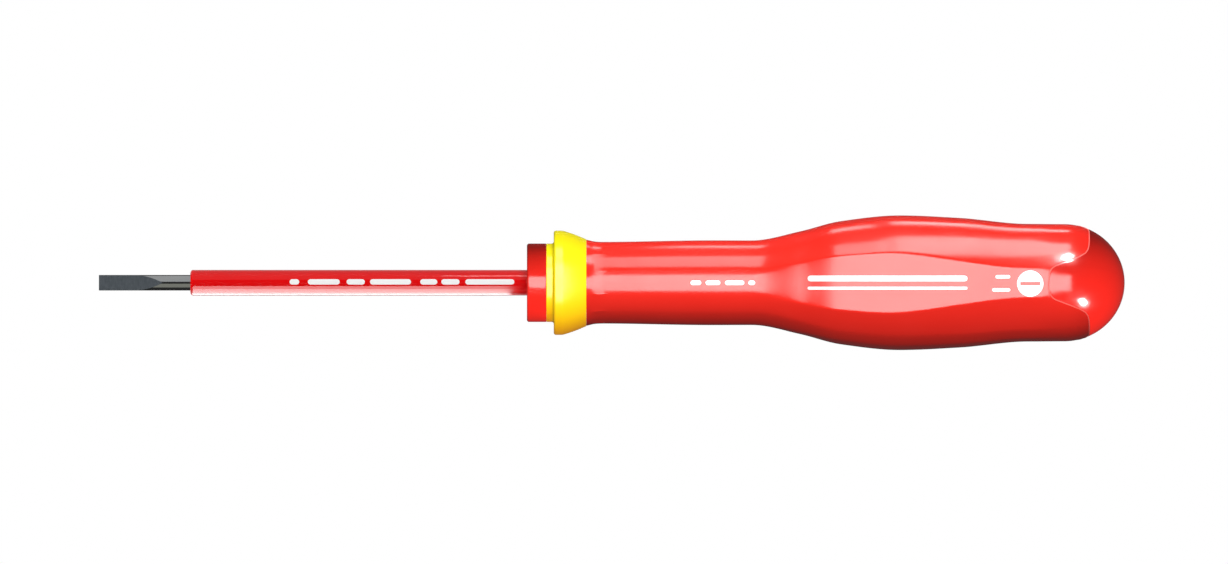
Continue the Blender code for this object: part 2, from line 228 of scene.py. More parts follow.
def through(knots, x):
    """The value at x of a smooth curve through (x, value) knots, level at its own peaks and ends."""
    if x <= knots[0][0]:
        return knots[0][1]
    if x >= knots[-1][0]:
        return knots[-1][1]
    slopes = [(b[1] - a[1]) / (b[0] - a[0]) for a, b in zip(knots, knots[1:])]
    tangents = [0.0]
    for before, after in zip(slopes, slopes[1:]):
        level = before * after <= 0
        tangents.append(0.0 if level else 2 * before * after / (before + after))
    tangents.append(0.0)
    i = max(i for i in range(len(slopes)) if knots[i][0] <= x)
    (x0, y0), (x1, y1) = knots[i], knots[i + 1]
    width = x1 - x0
    t = (x - x0) / width
    start = (1 + 2 * t) * (1 - t) ** 2 * y0 + t * (1 - t) ** 2 * width * tangents[i]
    end = t * t * (3 - 2 * t) * y1 + t * t * (t - 1) * width * tangents[i + 1]
    return start + end


def arc(centre, radius, start, end, count):
    """Points (x, r) along a round corner of a turned profile, its angles in degrees from +X."""
    points = []
    for i in range(count + 1):
        angle = math.radians(blend(start, end, i / count))
        points.append((centre[0] + radius * math.cos(angle), centre[1] + radius * math.sin(angle)))
    return points


def bowed(start, end, turn, count):
    """Points after start up to end along a shallow arc that turns by this many degrees and bulges
    to its left."""
    chord = Vector((end[0] - start[0], end[1] - start[1]))
    side = Vector((-chord.y, chord.x))
    rise = math.tan(math.radians(turn) / 4) / 2
    return [tuple(Vector(start) + chord * t + side * rise * 4 * t * (1 - t))
            for t in steps(0.0, 1.0, count)[1:] + [1.0]]


# ---------------------------------------------------------------- the handle's skin

def within_lobe(angle):
    """The angle folded to the nearest main flat: 0 in the middle of a flat, HALF_LOBE on a lobe."""
    return abs((angle + HALF_LOBE) % LOBE_PITCH - HALF_LOBE)


def section(station):
    """(crease radius, flat edge angle, strip edge angle, sharpness, share of the belly) here."""
    crest = through([(row[0], row[1]) for row in GRIP_STATIONS], station)
    flat = through([(row[0], row[2]) for row in GRIP_STATIONS], station)
    to_belly = ease((station - WAIST_STATION) / (BELLY_STATION - WAIST_STATION))
    strip_edge = blend(STRIP_ANGLE_WAIST, STRIP_ANGLE_BELLY, to_belly)
    sharpness = blend(SHARPNESS_WAIST, SHARPNESS_BELLY, to_belly)
    return crest, math.acos(flat / crest), strip_edge, sharpness, to_belly


def facets(flat_edge, strip_edge, to_belly):
    """(centre angle, half width, bulge) of the main flat, the facet beside it and the strip."""
    centres = (0.0, (flat_edge + strip_edge) / 2, HALF_LOBE)
    halves = (flat_edge, (strip_edge - flat_edge) / 2, HALF_LOBE - strip_edge)
    bulges = [blend(a, b, to_belly) for a, b in zip(BULGES_WAIST, BULGES_BELLY)]
    return list(zip(centres, halves, bulges))


def skin_radius(station, angle):
    """Distance from the axis to the handle's outer skin, anywhere from the guard to the butt."""
    if station >= DOME_STATION:
        along = min((station - DOME_STATION) / DOME_LENGTH, 1.0)
        return DOME_RADIUS * math.sqrt(1 - along * along)
    crest, flat_edge, strip_edge, sharpness, to_belly = section(station)
    folded = within_lobe(angle)
    total = 0.0
    off_centre = 1.0
    for centre, half, bulge in facets(flat_edge, strip_edge, to_belly):
        plane = math.cos(folded - centre) / math.cos(half)
        total += max((1 - bulge) * plane + bulge, 0.0) ** sharpness
        off_centre = min(off_centre, abs(folded - centre) / half)
    faceted = crest / total ** (1 / sharpness)
    corner = POCKET_CORNER * (1 - math.sqrt(1 - off_centre ** POCKET_SQUARENESS))
    share = min(max((station - POCKET_START - corner) / POCKET_RUNOUT, 0.0), 1.0)
    neck_end, neck_crest, _ = GRIP_STATIONS[0]
    flare = max(1 - station / neck_end, 0.0) ** 2
    neck = blend(neck_crest, NECK_RADIUS, flare)
    front = blend(neck, faceted, ease(share) ** POCKET_STEEPNESS)
    to_dome = ease((station - REAR_NECK_STATION) / (DOME_STATION - REAR_NECK_STATION))
    return blend(front, DOME_RADIUS, to_dome)


def seam_station(angle, inset=0.0):
    """Where the sleeve ends at this angle; inset moves the line into the cap."""
    across = within_lobe(angle) * DOME_RADIUS + inset
    rounding = TONGUE_ROUNDING[across > TONGUE_HALF_WIDTH]
    share = 1 / (1 + math.exp((TONGUE_HALF_WIDTH - across) / rounding))
    return SEAM_STATION - TONGUE_LENGTH * (1 - share) + inset


def column_angles(station):
    """Angles round the handle, from -Y towards +Z, close together at the creases."""
    _, flat_edge, strip_edge, _, _ = section(station)
    near = [math.radians(a) for a in (-2.4, -1.2, -0.5, 0.0, 0.5, 1.2, 2.4)]
    half = steps(0.0, flat_edge + near[0], 6) + [flat_edge + a for a in near]
    half += steps(flat_edge + near[-1], strip_edge + near[0], 6)[1:]
    half += [strip_edge + a for a in near]
    half += steps(strip_edge + near[-1], HALF_LOBE, 4)[1:] + [HALF_LOBE]
    lobe = [-angle for angle in reversed(half[1:-1])] + half
    return [i * LOBE_PITCH + angle for i in range(LOBES) for angle in lobe]


def place(station, radius, angle):
    """A point on the handle by its station, its distance from the axis and its angle."""
    return Vector((GRIP_FRONT + station, -radius * math.cos(angle), radius * math.sin(angle)))


# ---------------------------------------------------------------- nodes

def add(tree, kind, feeds=None, **settings):
    """Adds one node. settings are its own options, and feeds gives an input, by its name or its
    place, either a value or the output that it comes from."""
    made = tree.nodes.new(kind)
    for option, value in settings.items():
        setattr(made, option, value)
    for socket, value in (feeds or {}).items():
        if isinstance(value, bpy.types.NodeSocket):
            tree.links.new(value, made.inputs[socket])
        else:
            made.inputs[socket].default_value = value
    return made


def maths(tree, operation, first, second=None):
    """The output of a Math node on one or two values or outputs."""
    feeds = {0: first} if second is None else {0: first, 1: second}
    return add(tree, "ShaderNodeMath", feeds, operation=operation).outputs[0]


def geometry_tree(name, sockets):
    """An empty Geometry Nodes tree with named inputs, each (name, socket type)."""
    tree = bpy.data.node_groups.new(name, "GeometryNodeTree")
    tree.interface.new_socket("Geometry", in_out="INPUT", socket_type="NodeSocketGeometry")
    for label, kind in sockets:
        tree.interface.new_socket(label, in_out="INPUT", socket_type=kind)
    tree.interface.new_socket("Geometry", in_out="OUTPUT", socket_type="NodeSocketGeometry")
    return tree


def close_tree(tree, geometry, material):
    """Ends a tree in Realize Instances and Set Material."""
    real = add(tree, "GeometryNodeRealizeInstances", {"Geometry": geometry})
    coated = add(tree, "GeometryNodeSetMaterial", {
        "Geometry": real.outputs[0], "Material": material})
    add(tree, "NodeGroupOutput", {"Geometry": coated.outputs[0]})


def grown(name, start, tree, values):
    """The plain mesh that a tree makes of a start mesh. values are its inputs by name."""
    seed = bpy.data.objects.new(name + ".start", start)
    bpy.context.scene.collection.objects.link(seed)
    modifier = seed.modifiers.new("grow", "NODES")
    modifier.node_group = tree
    for item in tree.interface.items_tree:
        if item.in_out == "INPUT" and item.name in values:
            modifier[item.identifier] = values[item.name]
    graph = bpy.context.evaluated_depsgraph_get()
    graph.update()
    mesh = bpy.data.meshes.new_from_object(seed.evaluated_get(graph), depsgraph=graph)
    seed.modifiers.remove(modifier)
    bpy.data.objects.remove(seed)
    mesh.name = name
    piece = bpy.data.objects.new(name, mesh)
    bpy.context.scene.collection.objects.link(piece)
    return piece


# ---------------------------------------------------------------- trees

def turning_tree():
    """Turns a closed profile round the long axis. The start mesh is the profile: points in order,
    with x along the axis and z as the distance from it. A grid is laid with one row more than the
    profile has points and one column more than there are steps, so its ends meet and are merged."""
    tree = geometry_tree("Turned ring", [
        ("Steps", "NodeSocketInt"), ("Material", "NodeSocketMaterial")])
    given = add(tree, "NodeGroupInput").outputs
    profile, around = given["Geometry"], given["Steps"]
    domain = add(tree, "GeometryNodeAttributeDomainSize", {"Geometry": profile})
    count = domain.outputs["Point Count"]
    rows = maths(tree, "ADD", count, 1.0)
    columns = maths(tree, "ADD", around, 1.0)
    grid = add(tree, "GeometryNodeMeshGrid", {"Vertices X": columns, "Vertices Y": rows})
    index = add(tree, "GeometryNodeInputIndex").outputs[0]
    column = maths(tree, "FLOOR", maths(tree, "DIVIDE", index, rows))
    wrapped = maths(tree, "MODULO", maths(tree, "MODULO", index, rows), count)
    position = add(tree, "GeometryNodeInputPosition").outputs[0]
    sample = add(tree, "GeometryNodeSampleIndex", {"Geometry": profile}, data_type="FLOAT_VECTOR")
    value = next(s for s in sample.inputs if s.name == "Value" and s.enabled)
    tree.links.new(position, value)
    tree.links.new(wrapped, sample.inputs["Index"])
    found = next(s for s in sample.outputs if s.enabled)
    parts = add(tree, "ShaderNodeSeparateXYZ", {0: found}).outputs
    angle = maths(tree, "MULTIPLY", maths(tree, "DIVIDE", column, around), 2 * math.pi)
    y = maths(tree, "MULTIPLY", parts["Z"], maths(tree, "COSINE", angle))
    z = maths(tree, "MULTIPLY", parts["Z"], maths(tree, "SINE", angle))
    point = add(tree, "ShaderNodeCombineXYZ", {"X": parts["X"], "Y": y, "Z": z}).outputs[0]
    placed = add(tree, "GeometryNodeSetPosition", {
        "Geometry": grid.outputs["Mesh"], "Position": point})
    merged = add(tree, "GeometryNodeMergeByDistance", {
        "Geometry": placed.outputs[0], "Distance": 0.0005 * MM})
    close_tree(tree, merged.outputs[0], given["Material"])
    return tree


def printing_tree():
    """Lays flat printed shapes on a surface: each point goes straight back along +Y until it meets
    the surface, and is then lifted off it by the thickness of the ink."""
    tree = geometry_tree("Pad print", [
        ("Surface", "NodeSocketObject"), ("Ink", "NodeSocketFloat"),
        ("Material", "NodeSocketMaterial")])
    given = add(tree, "NodeGroupInput").outputs
    target = add(
        tree, "GeometryNodeObjectInfo", {"Object": given["Surface"]}, transform_space="ORIGINAL")
    back = add(tree, "ShaderNodeCombineXYZ", {"Y": 1.0}).outputs[0]
    ray = add(tree, "GeometryNodeRaycast", {
        "Target Geometry": target.outputs["Geometry"], "Ray Direction": back, "Ray Length": 0.1})
    lift = add(tree, "ShaderNodeVectorMath", {0: ray.outputs["Hit Normal"]}, operation="SCALE")
    tree.links.new(given["Ink"], lift.inputs["Scale"])
    top = add(
        tree, "ShaderNodeVectorMath", {0: ray.outputs["Hit Position"], 1: lift.outputs[0]},
        operation="ADD")
    laid = add(tree, "GeometryNodeSetPosition", {
        "Geometry": given["Geometry"], "Position": top.outputs[0]})
    close_tree(tree, laid.outputs[0], given["Material"])
    return tree


def bead_tree():
    """Sweeps a round bead along a closed line of edges."""
    tree = geometry_tree("Bead", [
        ("Radius", "NodeSocketFloat"), ("Material", "NodeSocketMaterial")])
    given = add(tree, "NodeGroupInput").outputs
    line = add(tree, "GeometryNodeMeshToCurve", {"Mesh": given["Geometry"]})
    circle = add(tree, "GeometryNodeCurvePrimitiveCircle", {
        "Resolution": 10, "Radius": given["Radius"]})
    swept = add(tree, "GeometryNodeCurveToMesh", {
        "Curve": line.outputs[0], "Profile Curve": circle.outputs[0]})
    close_tree(tree, swept.outputs[0], given["Material"])
    return tree


# ---------------------------------------------------------------- meshes

def finish_piece(piece, body_node, sharp=40.0):
    """Shades a piece smooth but for its hard edges, and hangs it on the frame."""
    mesh = piece.data
    mesh.shade_smooth()
    mesh.set_sharp_from_angle(angle=math.radians(sharp))
    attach(piece, "root")
    if body_node:
        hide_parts(body_node)
    return piece


def outward(mesh):
    """Turns every face of a closed mesh outwards."""
    bm = bmesh.new()
    bm.from_mesh(mesh)
    bmesh.ops.recalc_face_normals(bm, faces=bm.faces)
    bm.to_mesh(mesh)
    bm.free()


def loft(name, rings, material, wrap=False):
    """One closed body through rings of equal count: wrap joins the last ring to the first, and
    otherwise each end is closed with a fan."""
    mesh = bpy.data.meshes.new(name)
    bm = bmesh.new()
    loops = [[bm.verts.new(point) for point in ring] for ring in rings]
    pairs = list(zip(loops, loops[1:]))
    if wrap:
        pairs.append((loops[-1], loops[0]))
    for a, b in pairs:
        for i in range(len(a)):
            bm.faces.new((a[i - 1], a[i], b[i], b[i - 1]))
    if not wrap:
        for loop in (loops[0], loops[-1]):
            middle = bm.verts.new(sum((v.co for v in loop), Vector()) / len(loop))
            for i in range(len(loop)):
                bm.faces.new((loop[i - 1], loop[i], middle))
    bmesh.ops.recalc_face_normals(bm, faces=bm.faces)
    bm.to_mesh(mesh)
    bm.free()
    mesh.materials.append(material)
    piece = bpy.data.objects.new(name, mesh)
    bpy.context.scene.collection.objects.link(piece)
    return piece


def turned(name, profile, material, tree, around=160):
    """A turned piece from its closed profile of (x, r) points."""
    start = bpy.data.meshes.new(name + ".profile")
    start.from_pydata([(x, 0.0, r) for x, r in profile], [], [])
    piece = grown(name, start, tree, {"Steps": around, "Material": material})
    outward(piece.data)
    return piece


# ---------------------------------------------------------------- materials

def linear(hex_colour):
    """An sRGB hex colour as linear RGBA."""
    channels = [int(hex_colour[i:i + 2], 16) / 255 for i in (1, 3, 5)]
    return [c / 12.92 if c <= 0.04045 else ((c + 0.055) / 1.055) ** 2.4 for c in channels] + [1.0]


def new_material(name, roughness, metallic=0.0):
    """(material, its tree, its shader, the object's own coordinates)."""
    material = bpy.data.materials.new(name)
    material.use_nodes = True
    tree = material.node_tree
    shader = tree.nodes["Principled BSDF"]
    shader.inputs["Roughness"].default_value = roughness
    shader.inputs["Metallic"].default_value = metallic
    coordinates = add(tree, "ShaderNodeTexCoord").outputs["Object"]
    return material, tree, shader, coordinates


def shades(tree, share, dark, light):
    """A colour between two, each an sRGB hex colour, by a share that is an output."""
    mixed = add(tree, "ShaderNodeMix", {"Factor": share}, data_type="RGBA")
    mixed.inputs[6].default_value = linear(dark)
    mixed.inputs[7].default_value = linear(light)
    return mixed.outputs[2]


def plastic(name, dark, light, roughness, spread, speck, pit):
    """A moulded plastic. dark and light are the ends of its slight flow marbling, spread is how far
    its roughness wanders, speck is the texture's grain in metres and pit that grain's depth. The
    real grain is near 0.05 mm, too fine to be seen from here, so speck draws it coarser."""
    material, tree, shader, coordinates = new_material(name, roughness)
    flow = add(tree, "ShaderNodeTexNoise", {
        "Vector": coordinates, "Scale": 1 / (9 * MM), "Detail": 3.0, "Roughness": 0.5})
    tree.links.new(shades(tree, flow.outputs["Fac"], dark, light), shader.inputs["Base Color"])
    patch = add(tree, "ShaderNodeTexNoise", {
        "Vector": coordinates, "Scale": 1 / (3 * MM), "Detail": 2.0})
    rub = add(tree, "ShaderNodeMapRange", {
        "Value": patch.outputs["Fac"], "From Min": 0.3, "From Max": 0.7,
        "To Min": roughness - spread, "To Max": roughness + spread})
    tree.links.new(rub.outputs[0], shader.inputs["Roughness"])
    grain = add(tree, "ShaderNodeTexNoise", {
        "Vector": coordinates, "Scale": 1 / speck, "Detail": 1.0})
    bump = add(tree, "ShaderNodeBump", {
        "Height": grain.outputs["Fac"], "Strength": 1.0, "Distance": pit})
    tree.links.new(bump.outputs[0], shader.inputs["Normal"])
    return material


def steel_material():
    """Burnished tool steel: a drawn bar with faint lines along it, and ground flats with a fine
    grain and a slightly bluer, duller grey. The attribute ground is 1 on the flats."""
    material, tree, shader, coordinates = new_material("burnished_tool_steel", 0.3, metallic=1.0)
    ground = add(tree, "ShaderNodeAttribute", attribute_name="ground").outputs["Fac"]
    along = add(tree, "ShaderNodeMapping", {"Vector": coordinates, "Scale": (60.0, 2500.0, 2500.0)})
    drawn = add(tree, "ShaderNodeTexNoise", {
        "Vector": along.outputs[0], "Scale": 1.0, "Detail": 2.0})
    across = add(tree, "ShaderNodeMapping", {
        "Vector": coordinates, "Scale": (4200.0, 900.0, 900.0)})
    grit = add(tree, "ShaderNodeTexNoise", {
        "Vector": across.outputs[0], "Scale": 1.0, "Detail": 3.0})
    height = add(tree, "ShaderNodeMix", {
        0: ground, 2: drawn.outputs["Fac"], 3: grit.outputs["Fac"]})
    bar = shades(tree, drawn.outputs["Fac"], "#8E9092", "#A2A4A4")
    flat = shades(tree, grit.outputs["Fac"], "#767F8A", "#9CA5B0")
    tint = add(tree, "ShaderNodeMix", {0: ground, 6: bar, 7: flat}, data_type="RGBA")
    tree.links.new(tint.outputs[2], shader.inputs["Base Color"])
    rub = add(tree, "ShaderNodeMapRange", {"Value": ground, "To Min": 0.1, "To Max": 0.42})
    tree.links.new(rub.outputs[0], shader.inputs["Roughness"])
    bump = add(tree, "ShaderNodeBump", {
        "Height": height.outputs[0], "Strength": 0.5, "Distance": 0.006 * MM})
    tree.links.new(bump.outputs[0], shader.inputs["Normal"])
    return material


# ---------------------------------------------------------------- blade and sheath

def blade_ring(x, radius, flat_distance):
    """One section of the bar: across the flat on the -Y side, round to the flat on the +Y side,
    across it and back round."""
    edge = max(math.acos(min(flat_distance / radius, 1.0)), math.radians(1.5))
    points = []
    for turn in (0.0, math.pi):
        side = math.cos(turn)
        flat_y, flat_z = -side * radius * math.cos(edge), side * radius * math.sin(edge)
        for share in steps(-1, 1, FLAT_STEPS):
            points.append(Vector((x, flat_y, flat_z * share)))
        for angle in steps(turn + edge, turn + math.pi - edge, BAR_STEPS):
            points.append(Vector((x, -radius * math.cos(angle), radius * math.sin(angle))))
    return points


def make_blade(material):
    """The steel bar: flats ground parallel at the tip, which then run out in an arch."""
    half = TIP_THICKNESS / 2
    widest_half_flat = math.sqrt(BLADE_RADIUS ** 2 - half ** 2)
    parallel_end = TIP_FRONT + TIP_PARALLEL_LENGTH
    runout_end = parallel_end + TIP_RUNOUT_LENGTH
    rings = [blade_ring(TIP_FRONT, BLADE_RADIUS - TIP_BREAK, half - TIP_BREAK)]
    for x in steps(TIP_FRONT + TIP_BREAK, parallel_end, 24):
        rings.append(blade_ring(x, BLADE_RADIUS, half))
    for along in steps(0.0, TIP_RUNOUT_LENGTH, 40) + [TIP_RUNOUT_LENGTH]:
        half_flat = widest_half_flat * (1 - (along / TIP_RUNOUT_LENGTH) ** TIP_ARCH)
        depth = math.sqrt(BLADE_RADIUS ** 2 - half_flat ** 2)
        rings.append(blade_ring(parallel_end + along, BLADE_RADIUS, depth))
    for x in (runout_end + 0.5 * MM, SHEATH_STRAIGHT_FRONT, BLADE_SHOWN_END):
        rings.append(blade_ring(x, BLADE_RADIUS, BLADE_RADIUS))
    piece = loft("blade_steel", rings, material)
    ground = piece.data.attributes.new("ground", "FLOAT", "FACE")
    half_ring = len(rings[0]) // 2
    for face in piece.data.polygons:
        on_flat = (face.index - 1) % half_ring < FLAT_STEPS and len(face.vertices) == 4
        ground.data[face.index].value = float(on_flat and face.center.x < runout_end - GROUND_FADE)
    return finish_piece(piece, "blade", sharp=25)


def make_sheath(material, tree):
    """The insulating tube, with a drawn-in rounded nose."""
    profile = []
    for turn in steps(0.0, math.pi / 2, 14) + [math.pi / 2]:
        x = SHEATH_FRONT + SHEATH_NOSE * (1 - math.sin(turn) ** 1.2)
        profile.append((x, blend(SHEATH_RADIUS, SHEATH_BORE, 1 - math.cos(turn) ** 0.8)))
    profile = profile[::-1]
    profile += [(x, SHEATH_RADIUS) for x in steps(SHEATH_STRAIGHT_FRONT, SHEATH_REAR, 30)]
    profile += [(SHEATH_REAR, SHEATH_RADIUS), (SHEATH_REAR, SHEATH_BORE)]
    piece = turned("insulating_sheath", profile, material, tree, 96)
    return finish_piece(piece, "blade_sheath")


# ---------------------------------------------------------------- front of the handle

def make_collar(material, tree):
    """The red nose ring, whose front face closes in on the sheath."""
    rear = HUB_FRONT - FINE_GAP
    bore = SHEATH_RADIUS + FINE_GAP
    front_corner = (COLLAR_FRONT + CORNER_RADIUS, COLLAR_RADIUS - CORNER_RADIUS)
    profile = arc(front_corner, CORNER_RADIUS, 180, 90, 10)
    profile += arc((rear - EDGE_ROUND, COLLAR_RADIUS - EDGE_ROUND), EDGE_ROUND, 90, 0, 5)
    profile += [(rear, NOSE_BORE), (COLLAR_FRONT + COLLAR_FACE, NOSE_BORE)]
    profile += [(COLLAR_FRONT + COLLAR_FACE, bore), (COLLAR_FRONT, bore)]
    piece = turned("nose_collar_ring", profile, material, tree)
    return finish_piece(piece, "nose_collar")


def make_guard(material, tree):
    """The yellow finger guard: a short hub, then a rim that falls away to the grip."""
    hub = COLLAR_RADIUS
    rear = GRIP_FRONT - FINE_GAP
    profile = [(HUB_FRONT, NOSE_BORE)]
    profile += arc((HUB_FRONT + EDGE_ROUND, hub - EDGE_ROUND), EDGE_ROUND, 180, 90, 5)
    profile += arc((GUARD_FRONT - HUB_FILLET, hub + HUB_FILLET), HUB_FILLET, 270, 360, 8)
    rim_corner = (GUARD_FRONT + CORNER_RADIUS, GUARD_RADIUS - CORNER_RADIUS)
    profile += arc(rim_corner, CORNER_RADIUS, 180, 90, 10)
    crown = (GUARD_FRONT + GUARD_RIM_LENGTH, GUARD_RADIUS - GUARD_ROUNDING)
    profile += arc(crown, GUARD_ROUNDING, 90, 90 - GUARD_TILT, 12)
    profile += bowed(profile[-1], (rear, GUARD_REAR_RADIUS), GUARD_BOW, 20)
    profile.append((rear, NOSE_BORE))
    piece = turned("finger_guard", profile, material, tree, 192)
    return finish_piece(piece, "guard_ring")


# ---------------------------------------------------------------- grip and cap

def between_lines(front_line, rear_line, share, inward=0.0):
    """A ring part of the way, by share, between two lines round the rear of the handle, each a
    function that gives a station for an angle."""
    points = []
    for angle in column_angles(REAR_NECK_STATION):
        station = blend(front_line(angle), rear_line(angle), share)
        points.append(place(station, skin_radius(station, angle) - inward, angle))
    return points


def lip_rings(line, outward_step, count=4):
    """Rings that round a seam's edge inwards: from the skin at EDGE_ROUND before the line to the
    line itself at EDGE_ROUND below the skin. outward_step is +1 for the sleeve, -1 for the cap."""
    rings = []
    for i in range(count + 1):
        turn = math.radians(90 * i / count)
        back = EDGE_ROUND * (1 - math.sin(turn)) * outward_step
        drop = EDGE_ROUND * (1 - math.cos(turn))
        ring = []
        for angle in column_angles(REAR_NECK_STATION):
            station = line(angle) - back
            ring.append(place(station, skin_radius(station, angle) - drop, angle))
        rings.append(ring)
    return rings


def sleeve_edge(angle):
    """The sleeve's rear edge."""
    return seam_station(angle) + CAD_FIT / 2 - FINE_GAP / 2


def cap_edge(angle):
    """The cap's front edge."""
    return seam_station(angle, CAD_FIT / 2 + FINE_GAP / 2)


def neck_line(angle):
    """The level line round the handle that the tongues start behind."""
    return REAR_NECK_STATION


def sleeve_lip(angle):
    """Where the sleeve's skin starts to round in to its rear edge."""
    return sleeve_edge(angle) - EDGE_ROUND


def cap_floor(angle):
    """The level line inside the cap that closes it off."""
    return SEAM_STATION + CAP_DEPTH


def skin_ring(station, inward=0.0):
    """A level ring of the skin, or this far inside it."""
    return [place(station, skin_radius(station, angle) - inward, angle)
            for angle in column_angles(station)]


def make_sleeve(material):
    """The soft grip: its skin from the guard to the seam, its rounded lip, and its bore."""
    pocket_end = POCKET_START + POCKET_RUNOUT + POCKET_CORNER
    stations = steps(FINE_GAP, POCKET_START, 4) + steps(POCKET_START, pocket_end, 40)
    stations += steps(pocket_end, REAR_NECK_STATION, 84)
    rings = [skin_ring(station) for station in stations]
    rings += [between_lines(neck_line, sleeve_lip, share) for share in steps(0.0, 1.0, 20)]
    rings += lip_rings(sleeve_edge, 1)
    rings.append(between_lines(neck_line, sleeve_edge, 1.0, SLEEVE_WALL))
    rings += [skin_ring(station, SLEEVE_WALL) for station in SLEEVE_BORE_STATIONS]
    piece = loft("soft_grip", rings, material, wrap=True)
    return finish_piece(piece, "grip_sleeve", sharp=50)


def dome_ring(share):
    """A ring of the cap's skin part of the way, by turn, from behind its lip to the pole."""
    points = []
    for angle in column_angles(REAR_NECK_STATION):
        front = cap_edge(angle) + EDGE_ROUND
        start = math.asin((front - DOME_STATION) / DOME_LENGTH)
        station = DOME_STATION + DOME_LENGTH * math.sin(blend(start, math.pi / 2, share))
        points.append(place(station, skin_radius(station, angle), angle))
    return points


def make_cap(material):
    """The hard dome, with its three tongues, closed off inside."""
    rings = [between_lines(cap_edge, cap_floor, share, SLEEVE_WALL) for share in (1.0, 0.5, 0.0)]
    rings += lip_rings(cap_edge, -1)[::-1]
    rings += [dome_ring(share) for share in steps(0.0, 1.0, 60)[1:]]
    piece = loft("domed_cap", rings, material)
    return finish_piece(piece, "butt_cap", sharp=50)


def make_seam_bead(material, tree):
    """The fine raised parting line where the cap meets the grip."""
    points = []
    for angle in column_angles(REAR_NECK_STATION):
        station = (sleeve_edge(angle) + cap_edge(angle)) / 2
        points.append(place(station, skin_radius(station, angle) - BEAD_SUNK, angle))
    start = bpy.data.meshes.new("seam_bead.line")
    start.from_pydata(points, [((i or len(points)) - 1, i) for i in range(len(points))], [])
    piece = grown("seam_bead", start, tree, {"Radius": BEAD_RADIUS, "Material": material})
    outward(piece.data)
    return finish_piece(piece, None)


# ---------------------------------------------------------------- printed marks

def flat_shape(name, outlines):
    """Flat faces in front of the tool, each from an outline of (x, z) points, cut into small cells
    so that they can follow a curved surface."""
    bm = bmesh.new()
    for outline in outlines:
        face = bm.faces.new([bm.verts.new((x, IN_FRONT_OF_TOOL, z)) for x, z in outline])
        faces = [face]
        low = [min(p[i] for p in outline) for i in (0, 1)]
        high = [max(p[i] for p in outline) for i in (0, 1)]
        for axis in (0, 1):
            normal = Vector((1, 0, 0)) if axis == 0 else Vector((0, 0, 1))
            count = int((high[axis] - low[axis]) / CELL)
            for at in steps(low[axis], high[axis], max(count, 1))[1:]:
                edges = {e for f in faces for e in f.edges}
                verts = {v for f in faces for v in f.verts}
                cut = bmesh.ops.bisect_plane(
                    bm, geom=list(verts | edges | set(faces)), dist=1e-8,
                    plane_co=normal * at, plane_no=normal)
                faces = [g for g in cut["geom"] if isinstance(g, bmesh.types.BMFace)]
    mesh = bpy.data.meshes.new(name)
    bmesh.ops.recalc_face_normals(bm, faces=bm.faces)
    for face in bm.faces:
        if face.normal.y > 0:
            face.normal_flip()
    bm.to_mesh(mesh)
    bm.free()
    return mesh


def rounded_bar(x, z, length, height, count=8):
    """The outline of a bar with round ends, centred at (x, z)."""
    radius = height / 2
    reach_x = length / 2 - radius
    points = []
    for side, first in ((1, -90), (-1, 90)):
        for i in range(count + 1):
            angle = math.radians(first + 180 * i / count)
            points.append((
                x + side * reach_x + radius * math.cos(angle), z + radius * math.sin(angle)))
    return points


def slotted_disc(middle_point, radius, slot, count=16):
    """The outlines of a disc with a straight slot, given as its length and height, that stops
    short of the rim: the parts above and below the slot and the two beyond its ends."""
    x, z = middle_point
    half_length, half_height = slot[0] / 2, slot[1] / 2
    corner = math.acos(half_length / radius)
    outlines = []
    for middle, half in ((0.0, corner), (math.pi / 2, math.pi / 2 - corner),
                         (math.pi, corner), (3 * math.pi / 2, math.pi / 2 - corner)):
        outline = [(x + radius * math.cos(angle), z + radius * math.sin(angle))
                   for angle in steps(middle - half, middle + half, count) + [middle + half]]
        side = round(math.sin(middle))
        if side:
            outline += [(x - side * half_length, z + side * half_height),
                        (x + side * half_length, z + side * half_height)]
        outlines.append(outline)
    return outlines


def make_prints(ink, sleeve, tree):
    """White pad-printed marks: a slot symbol for the tip's shape, and plain bars without words."""
    shapes = {
        "slot_symbol": slotted_disc(SLOT_SYMBOL, SLOT_SYMBOL_RADIUS, SLOT_SYMBOL_SLOT),
        "grip_rules": [rounded_bar(*rule) for rule in GRIP_RULES],
        "grip_dashes": [rounded_bar(*dash) for dash in GRIP_DASHES],
        "size_ticks": [rounded_bar(*tick) for tick in SIZE_TICKS],
    }
    pieces = []
    for name, outlines in shapes.items():
        flat = flat_shape(name + ".flat", outlines)
        piece = grown(name, flat, tree, {"Surface": sleeve, "Ink": INK_FILM, "Material": ink})
        pieces.append(finish_piece(piece, None))
    return pieces


def make_sheath_print(ink, sheath, tree):
    """White dashes along the sheath."""
    outlines = []
    front = SHEATH_DASHES_FRONT
    for length, gap in SHEATH_DASHES:
        middle = front + length * MM / 2
        outlines.append(rounded_bar(middle, SHEATH_DASH_RISE, length * MM, SHEATH_DASH_HEIGHT))
        front += (length + gap) * MM
    flat = flat_shape("sheath_dashes.flat", outlines)
    piece = grown("sheath_dashes", flat, tree, {
        "Surface": sheath, "Ink": INK_FILM, "Material": ink})
    return finish_piece(piece, None)


# ---------------------------------------------------------------- studio

def aimed_lamp(name, centre, aim, size, radiance, colour):
    """A rectangular soft box by its radiance, which the camera doesn't see."""
    data = bpy.data.lights.new(name, "AREA")
    data.shape = "RECTANGLE"
    data.size, data.size_y = size
    data.energy = radiance * size[0] * size[1] * math.pi
    data.color = linear(colour)[:3]
    lamp = bpy.data.objects.new(name, data)
    bpy.context.scene.collection.objects.link(lamp)
    lamp.location = centre
    lamp.rotation_euler = (Vector(aim) - Vector(centre)).to_track_quat("-Z", "Y").to_euler()
    lamp.visible_camera = False
    return lamp


